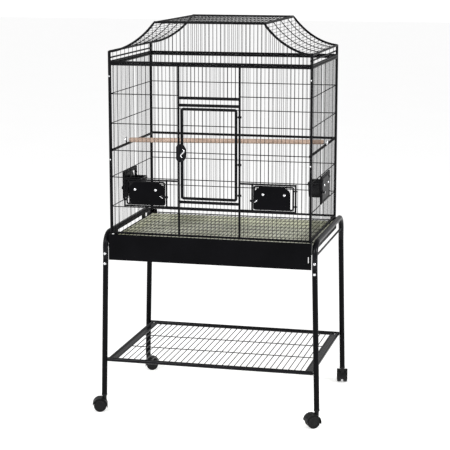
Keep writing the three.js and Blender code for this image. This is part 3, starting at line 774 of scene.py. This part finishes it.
def latch():
    keeper = [(LATCH_SPLIT - LATCH_GAP, LATCH_Z + LATCH_TALL)]
    keeper += [(-122, LATCH_Z + 33), (-130, LATCH_Z + 25)]
    keeper += [(x, 2 * LATCH_Z - z) for x, z in reversed(keeper)]
    plate = flat_plate("latch_keeper_plate", keeper, -8.2, -4.4, front, gloss_coat, 1.0)
    keep(plate, "cage", "latch_keeper")
    edge = LATCH_SPLIT + LATCH_GAP
    angles = [math.pi * (i / 24 - 0.5) for i in range(25)]
    round_side = [
        (edge + LATCH_WIDE * math.cos(a), LATCH_Z + LATCH_TALL * math.sin(a)) for a in angles]
    plate = flat_plate("latch_door_plate", round_side, -8.2, -3.2, front, gloss_coat, 1.0)
    keep(plate, "main_door")
    centre = front(LATCH_X, -8.6, LATCH_Z)
    boss = turned("latch_boss", LATCH_BOSS, centre, (0, -1, 0), gloss_coat, 32)
    keep(boss, "latch_knob", "latch_knob", slot="latch_steel")
    lever = []
    radii = []
    for i in range(25):
        t = i / 24 * 2 - 1
        x = LATCH_X + 6.5 * math.sin(t * math.pi * 0.9)
        lever.append(front(x, -14.4 + 2.0 * t * t, LATCH_Z + 16.5 * t))
        radii.append((3.2 - 1.7 * abs(t) ** 1.6) * MM)
    mesh = bmesh.new()
    sweep(mesh, lever, radii, 14)
    keep(finish_mesh("latch_lever", mesh, zinc), "latch_knob", slot="latch_steel")


latch()

# %% [markdown]
# ## Feeder doors
# Each feeder opening is closed by a small door: a wire loop with a sheet plate whose top corners
# are rounded, hung on two eyes. Two screws hold the cup bracket behind the plate, and a turn button
# near the free edge keeps the door shut.

# %% Feeder doors
CUP_RING_Z = 935
CUP_RING = (
    (-60, -1), (-63, 8), (-63, 52), (-60, 59), (-53, 62),
    (41, 62), (48, 59), (51, 52), (51, 8), (48, -1),
)
BUTTON_X, BUTTON_Z = -68, 908
BUTTON = (
    (0, 0), (8, 0), (8.2, 0.8), (7.6, 1.8), (4.6, 2.6),
    (3.8, 3.4), (4.4, 5.4), (4.2, 7.0), (2.6, 7.9), (0, 8.1),
)


def in_feeder(place, centre, hand):
    def local(x, y, z):
        return place(centre + hand * x, y, z)

    return local


def outward(place):
    return (place(0, -1, 0) - place(0, 0, 0)).normalized()


def feeder_door(name, place, centre, hand):
    local = in_feeder(place, centre, hand)
    body = f"feeder_door_{name}"
    loop = [square_loop(local, -77, 76, FEEDER_LOW + 8, FEEDER_HIGH - 8, 5)]
    keep(rods(f"feeder_loop_{name}", loop, 3.6, satin_coat, 12), body, body)
    outline = [(-78, FEEDER_LOW + 8), (66, FEEDER_LOW + 8)]
    outline += arc(34, FEEDER_HIGH - 41, 32, 0, 90, 12)
    outline += arc(-46, FEEDER_HIGH - 41, 32, 90, 180, 12)
    keep(flat_plate(f"feeder_plate_{name}", outline, -4.4, -2.4, local, sheet_coat, 0.7), body)
    eyes = []
    for z in (FEEDER_LOW + 22, FEEDER_HIGH - 22):
        for lift in (-1.4, 1.4):
            eyes.append(ring_run(local, FEEDER_HALF, z + lift, 4.9))
        eyes.append([local(76, 0, z), local(FEEDER_HALF - 4.6, 0, z)])
    keep(rods(f"feeder_eyes_{name}", eyes, 1.3, satin_coat, 8), body)
    ring = [local(x, y, CUP_RING_Z) for x, y in CUP_RING]
    keep(rods(f"cup_ring_{name}", [ring], 2.2, satin_coat, 10), body)
    for i, x in enumerate((-42, 42)):
        spot = local(x, -4.4, 934)
        screw = turned(f"feeder_screw_{name}_{i}", DOME, spot, outward(place), zinc, 20)
        keep(screw, body, slot="bright_steel")


def feeder_latch(name, place, centre, hand):
    local = in_feeder(place, centre, hand)
    body = f"feeder_latch_{name}"
    spot = local(BUTTON_X, -3.9, BUTTON_Z)
    piece = turned(f"turn_button_{name}", BUTTON, spot, outward(place), gloss_coat, 24)
    keep(piece, body, body, slot="latch_steel")
    arm = [(-93, 904), (BUTTON_X, 902), (BUTTON_X, 914), (-93, 912)]
    piece = flat_plate(f"turn_arm_{name}", arm, -6.6, -3.9, local, gloss_coat, 0.8)
    keep(piece, body, slot="latch_steel")
    wing = []
    for t in (-1, -0.5, 0, 0.5, 1):
        wing.append(local(BUTTON_X + 5.5 * t, -12.2, BUTTON_Z + 4.5 * t))
    mesh = bmesh.new()
    sweep(mesh, wing, [1.2 * MM, 2.0 * MM, 2.2 * MM, 2.0 * MM, 1.2 * MM], 10)
    keep(finish_mesh(f"turn_wing_{name}", mesh, zinc), body, slot="latch_steel")


# %% [markdown]
# ## Seed cups
# A seed cup is a thin moulded box with a rolled rim, tapered a little so that it leaves its mould.
# It is built as rings: up the outside, over the rim, down the inside and across the floor.

# %% Seed cups
def cup_ring(local, grow, z, radius, y_near, steps=5):
    x0, x1, y0, y1 = -61 - grow, 49 + grow, y_near, 60 + grow
    radius = max(radius + grow, 1.5)
    points = []
    for cx, cy, quarter in (
        (x1 - radius, y1 - radius, 0), (x0 + radius, y1 - radius, 1),
        (x0 + radius, y0 + radius, 2), (x1 - radius, y0 + radius, 3),
    ):
        for i in range(steps + 1):
            angle = math.pi / 2 * (quarter + i / steps)
            points.append(local(cx + radius * math.cos(angle), cy + radius * math.sin(angle), z))
    return points


# How far each ring stands outside the cup's outline, its height, and where its near side lies.
CUP_PROFILE = (
    (-7, 884, 2.6), (-4, 884.6, 2.6), (-2.4, 887, 2.6), (-0.6, 912, 2.5), (0, 938.6, 2.4),
    (2.2, 939.6, 2.4), (2.6, 941.2, 2.4), (2.2, 942.8, 2.4), (0, 943, 2.5), (-1.6, 942.2, 4.0),
    (-1.9, 925, 4.1), (-3.4, 892, 4.2), (-5, 888, 4.4), (-9, 887, 7),
)


def seed_cup(name, place, centre, hand):
    local = in_feeder(place, centre, hand)
    mesh = bmesh.new()
    rings = []
    for grow, z, near in CUP_PROFILE:
        rings.append([mesh.verts.new(point) for point in cup_ring(local, grow, z, 12, near)])
    for one, two in zip(rings, rings[1:]):
        for i in range(len(one)):
            j = (i + 1) % len(one)
            mesh.faces.new((one[i], one[j], two[j], two[i]))
    mesh.faces.new(list(reversed(rings[0])))
    mesh.faces.new(rings[-1])
    piece = finish_mesh(f"seed_cup_shell_{name}", mesh, cup_black)
    keep(piece, f"seed_cup_{name}", f"seed_cup_{name}", slot="cup_plastic")


FEEDERS = (
    ("front_left", front, -FRONT_FEEDER_X, -1),
    ("front_right", front, FRONT_FEEDER_X, 1),
    ("left", left_end, SIDE_FEEDER_Y, -1),
    ("right", right_end, SIDE_FEEDER_Y, 1),
)
for name, place, centre, hand in FEEDERS:
    feeder_door(name, place, centre, hand)
    feeder_latch(name, place, centre, hand)
    seed_cup(name, place, centre, hand)
print("feeders dressed:", len(FEEDERS))

# %% [markdown]
# ## The perch
# The dowel runs from end to end at half height, a little askew. Each end is turned down slightly
# and held by a screw with a wide washer outside the bars.

# %% Perch
PERCH_Z = 1099
WASHER = (
    (0, 0), (12.4, 0), (12.8, 0.4), (12.8, 1.6), (12.4, 2), (7, 2), (6.4, 3.4), (4, 5.4), (0, 5.8),
)


def perch():
    start, end = at(-390, -69, PERCH_Z), at(390, 51, PERCH_Z)
    way = (end - start).normalized()
    length = (end - start).length
    stations = ((0, 7.6), (0.8, 8.6), (2, 9.2), (9, 9.5), (11, 9.8))
    inner = 14
    points = [start + way * s * MM for s, _ in stations]
    points += [start + way * length * (i + 1) / (inner + 1) for i in range(inner)]
    points += [end - way * s * MM for s, _ in reversed(stations)]
    radii = [r * MM for _, r in stations]
    radii += [(9.8 + random.uniform(-0.12, 0.12)) * MM for _ in range(inner)]
    radii += [r * MM for _, r in reversed(stations)]
    mesh = bmesh.new()
    sweep(mesh, points, radii, 28)
    keep(finish_mesh("perch_dowel", mesh, timber), "cage", "perch", slot="perch_timber")
    for name, side, y in (("left", -1, -70), ("right", 1, 52)):
        spot = at(side * (HALF_WIDTH + 1.6), y, PERCH_Z)
        piece = turned(f"perch_fixing_{name}", WASHER, spot, (side, 0, 0), zinc)
        keep(piece, "cage", f"perch_washer_{name}", slot="bright_steel")


perch()

# %% [markdown]
# ## The stand
# Each side of the stand is one tube bent into an arch, with a straight leg plugged into each end.
# A collar shows where the two tubes meet, and domed bolts hold the joint above and below it.

# %% Stand tubes
TUBE = 11
STAND_X, FOOT_X = 422, 436
STAND_FRONT, STAND_BACK = -296, 318
ARCH_TOP, ARCH_BEND, LEG_TOP, LEG_FOOT = 752, 55, 652, 86
SHELF_Z = 237


ARCH_RAIL_Z = 699
BOLTS = (("upper", 674, 0.0), ("lower", 633, 0.5))


def stand_y(y_side):
    return STAND_FRONT if y_side < 0 else STAND_BACK


def arch_run(x):
    points = [at(x, STAND_FRONT, LEG_TOP + 1)]
    bend_z = ARCH_TOP - ARCH_BEND
    for side in (-1, 1):
        bend_y = stand_y(side) - side * ARCH_BEND
        for i in range(11):
            angle = math.pi / 2 * (i / 10 if side < 0 else 1 - i / 10)
            y = bend_y + side * ARCH_BEND * math.cos(angle)
            points.append(at(x, y, bend_z + ARCH_BEND * math.sin(angle)))
    points.append(at(x, STAND_BACK, LEG_TOP + 1))
    return points


def stand_side(name, side):
    x = side * STAND_X
    tube = rods(f"arch_tube_{name}", [arch_run(x)], TUBE, gloss_coat, 24)
    keep(tube, "cage", f"stand_arch_{name}")
    rail = [[at(x, STAND_FRONT, ARCH_RAIL_Z), at(x, STAND_BACK, ARCH_RAIL_Z)]]
    keep(rods(f"arch_rail_{name}", rail, 4, gloss_coat, 14, 0.3), "cage")
    for way, end in ((-1, "front"), (1, "back")):
        near, far = sorted((side * 406.4, side * (STAND_X - 6)))
        lug = flat_plate(
            f"arch_lug_{name}_{end}",
            [(near, 728), (far, 728), (far, 750), (near, 750)],
            way * 190 - 14, way * 190 + 14, at, gloss_coat, 1.0)
        keep(lug, "cage")


def leg_tube(place, x_side, y_side):
    foot = at(x_side * FOOT_X, stand_y(y_side), LEG_FOOT)
    top = at(x_side * STAND_X, stand_y(y_side), LEG_TOP)
    way = (top - foot).normalized()
    keep(rods(f"leg_tube_{place}", [[foot, top]], TUBE, shaded_leg_coat, 24), "cage", f"leg_{place}")
    sleeve = [[foot, foot + way * 7 * MM]]
    socket = rods(f"leg_socket_{place}", sleeve, TUBE + 0.7, caster_nylon, 24)
    keep(socket, "cage", slot="caster_plastic")
    joint = [[top - way * 1.2 * MM, top + way * 1.4 * MM]]
    keep(rods(f"leg_joint_{place}", joint, TUBE - 0.6, gloss_coat, 24), "cage")
    for level, z, shift in BOLTS:
        spot = at(x_side * (STAND_X + shift), stand_y(y_side) + y_side * (TUBE - 0.6), z)
        bolt = turned(f"leg_bolt_{level}_{place}", DOME, spot, (0, y_side, 0), zinc)
        keep(bolt, "cage", f"bolt_{level}_{place}", slot="bright_steel")


# Each corner's sides in x and y, and the way its caster points, in degrees.
CORNERS = (
    ("front_left", -1, -1, 18), ("front_right", 1, -1, 30),
    ("back_right", 1, 1, -81), ("back_left", -1, 1, 197),
)
stand_side("left", -1)
stand_side("right", 1)
for place, x_side, y_side, _ in CORNERS:
    leg_tube(place, x_side, y_side)

# %% [markdown]
# ## The shelf
# The shelf is a welded rack. Its front and back are tubes, its sides are broad shallow channels,
# and wires run from front to back with two cross wires under them. A bolt in each corner of the
# channels holds it to the legs.

# %% Shelf
SHELF_WIDE = 32
SHELF_CROSS = (-70, 110)


def side_channel(name, side):
    """A broad shallow channel: a round outer edge, a web and a thinner inner edge."""
    x = side * (STAND_X - 2)
    inner = x - side * SHELF_WIDE
    edges = [[at(x - side * 5, STAND_FRONT, SHELF_Z), at(x - side * 5, STAND_BACK, SHELF_Z)]]
    keep(rods(f"shelf_outer_edge_{name}", edges, 6, gloss_coat, 16), "cage")
    edges = [[at(inner, STAND_FRONT, SHELF_Z), at(inner, STAND_BACK, SHELF_Z)]]
    keep(rods(f"shelf_inner_edge_{name}", edges, 4, gloss_coat, 14), "cage")
    near, far = sorted((x - side * 8, inner + side * 2))
    web = [(near, SHELF_Z - 1.5), (far, SHELF_Z - 1.5), (far, SHELF_Z + 1.5), (near, SHELF_Z + 1.5)]
    keep(flat_plate(f"shelf_web_{name}", web, STAND_FRONT, STAND_BACK, at, gloss_coat, 0.4), "cage")


def shelf():
    x = STAND_X - 2
    tubes = [[at(-x, stand_y(side), SHELF_Z), at(x, stand_y(side), SHELF_Z)] for side in (-1, 1)]
    keep(rods("shelf_tubes", tubes, 8.2, gloss_coat, 20), "cage", "shelf")
    side_channel("left", -1)
    side_channel("right", 1)
    inner = x - SHELF_WIDE + 2
    xs = between(-inner, inner, 32)
    wires = [[at(wx, STAND_FRONT, SHELF_Z), at(wx, STAND_BACK, SHELF_Z)] for wx in xs]
    wires += [[at(-inner, wy, SHELF_Z - 3.2), at(inner, wy, SHELF_Z - 3.2)] for wy in SHELF_CROSS]
    keep(rods("shelf_wires", wires, 1.9, gloss_coat, 10, 0.4), "cage")
    welds = [at(wx, wy, SHELF_Z - 1.6) for wx in xs for wy in SHELF_CROSS]
    beads("shelf_welds", welds, 2.3, gloss_coat, "cage")
    for i, (x_side, y_side) in enumerate((a, b) for a in SIDES for b in SIDES):
        spot = at(x_side * (x - 16), stand_y(y_side) - y_side * 14, SHELF_Z + 1.4)
        bolt = turned(f"shelf_bolt_{i}", SMALL_DOME, spot, (0, 0, 1), zinc, 16)
        keep(bolt, "cage", slot="bright_steel")
    return len(wires)


print("shelf wires:", shelf())

# %% [markdown]
# ## Casters
# A twin-wheel caster has two wheels on one axle, a web between them and a hood over them both. The
# hood keeps its CAD shape with soft edges. The wheels are turned, with a tread, a stepped face and
# a hub.

# %% Casters
FLOOR, WHEEL, TRAIL = 20, 26, 18
WHEEL_PROFILE = (
    (0, 4.4), (21, 4.4), (23.5, 4.8), (25.3, 6.2), (25.7, 8.5), (25.7, 18.2),
    (25.2, 20.4), (23.6, 21.8), (20.5, 22.0), (19.6, 20.6), (12.2, 20.2),
    (11.4, 21.4), (9.5, 21.8), (6, 21.9), (5.4, 22.4), (0, 22.6),
)


def caster(place, x_side, y_side, degrees):
    dress(f"caster_hood_{place}", caster_nylon, 1.4, 3)
    turn = Matrix.Rotation(math.radians(degrees), 3, "Z")
    hub = at(x_side * FOOT_X, stand_y(y_side), FLOOR + WHEEL) + turn @ Vector((-TRAIL, 0, 0)) * MM
    axle = turn @ Vector((0, 1, 0))
    for name, side in (("near", -1), ("far", 1)):
        wheel = turned(f"wheel_{name}_{place}", WHEEL_PROFILE, hub, axle * side, caster_nylon, 40)
        nodes = (f"caster_wheels_{place}",) if side < 0 else ()
        keep(wheel, f"wheels_{place}", *nodes, slot="caster_plastic")
    pin = [[hub - axle * 5 * MM, hub + axle * 5 * MM]]
    keep(rods(f"axle_{place}", pin, 3.8, zinc, 16), f"wheels_{place}", slot="bright_steel")


for place, x_side, y_side, degrees in CORNERS:
    caster(place, x_side, y_side, degrees)

# %% [markdown]
# ## Floor, light and camera
# The cage stands on a plain white studio floor. A broad pale sky fills the wires evenly, and two
# big soft lamps put a gentle highlight on the front and the right of each tube.

# %% Studio
FLOOR_HALF, FLOOR_Z = 30, -0.0006
SKY_SEEN, SKY_GIVEN = 1.12, 0.55


def studio_white():
    material, nodes, links, shader = new_material("studio paper")
    cloud = noise(nodes, links, 1.5, 2.0)
    links.new(
        ramp(nodes, links, cloud, [(0.2, (0.93, 0.93, 0.93)), (0.8, (0.95, 0.95, 0.95))]),
        shader.inputs["Base Color"],
    )
    shader.inputs["Roughness"].default_value = 0.9
    shader.inputs["Specular IOR Level"].default_value = 0.1
    shader.inputs["Emission Color"].default_value = (1, 1, 1, 1)
    shader.inputs["Emission Strength"].default_value = 0.45
    return material


def sky(strength_seen, strength_given):
    """A white backdrop for the eye, and a softer one for the light it gives."""
    world = bpy.data.worlds.new("studio sky")
    bpy.context.scene.world = world
    world.use_nodes = True
    nodes = world.node_tree.nodes
    links = world.node_tree.links
    background = nodes["Background"]
    background.inputs["Color"].default_value = (1, 1, 1, 1)
    path = nodes.new("ShaderNodeLightPath")
    choose = nodes.new("ShaderNodeMapRange")
    choose.inputs["To Min"].default_value = strength_given
    choose.inputs["To Max"].default_value = strength_seen
    links.new(path.outputs["Is Camera Ray"], choose.inputs["Value"])
    links.new(choose.outputs["Result"], background.inputs["Strength"])


def studio():
    mesh = bmesh.new()
    corners = ((-1, -1), (1, -1), (1, 1), (-1, 1))
    mesh.faces.new([mesh.verts.new((x * FLOOR_HALF, y * FLOOR_HALF, FLOOR_Z)) for x, y in corners])
    floor = finish_mesh("studio_floor", mesh, studio_white(), False)
    sky(SKY_SEEN, SKY_GIVEN)
    bpy.context.scene.view_settings.view_transform = "Standard"


def soft_lamp(name, place, target, size, power):
    lamp = bpy.data.lights.new(name, "AREA")
    lamp.shape = "DISK"
    lamp.size = size
    lamp.energy = power
    holder = bpy.data.objects.new(name, lamp)
    holder.location = place
    holder.rotation_euler = (Vector(target) - Vector(place)).to_track_quat("-Z", "Y").to_euler()
    bpy.context.collection.objects.link(holder)


studio()
LAMP_TARGET, LAMP_WATTS = (0, 0, 0.9), 90
soft_lamp("front softbox", (-1.8, -3.4, 3.2), LAMP_TARGET, 1.2, LAMP_WATTS)
soft_lamp("right softbox", (3.6, -1.2, 2.4), LAMP_TARGET, 1.0, LAMP_WATTS)

# %% Camera
CAMERA_PLACE = (1413.4, -5779.3, 1886.5)
CAMERA_TURN = 13.8
CAMERA_TILT = 10.8
LENS_RATIO = 3.2916


def camera():
    data = bpy.data.cameras.new("camera")
    data.sensor_width = 36
    data.lens = 36 * LENS_RATIO
    data.clip_end = 100
    holder = bpy.data.objects.new("camera", data)
    holder.location = at(*CAMERA_PLACE)
    holder.rotation_euler = (math.radians(90 - CAMERA_TILT), 0, math.radians(CAMERA_TURN))
    bpy.context.collection.objects.link(holder)
    bpy.context.scene.camera = holder


camera()
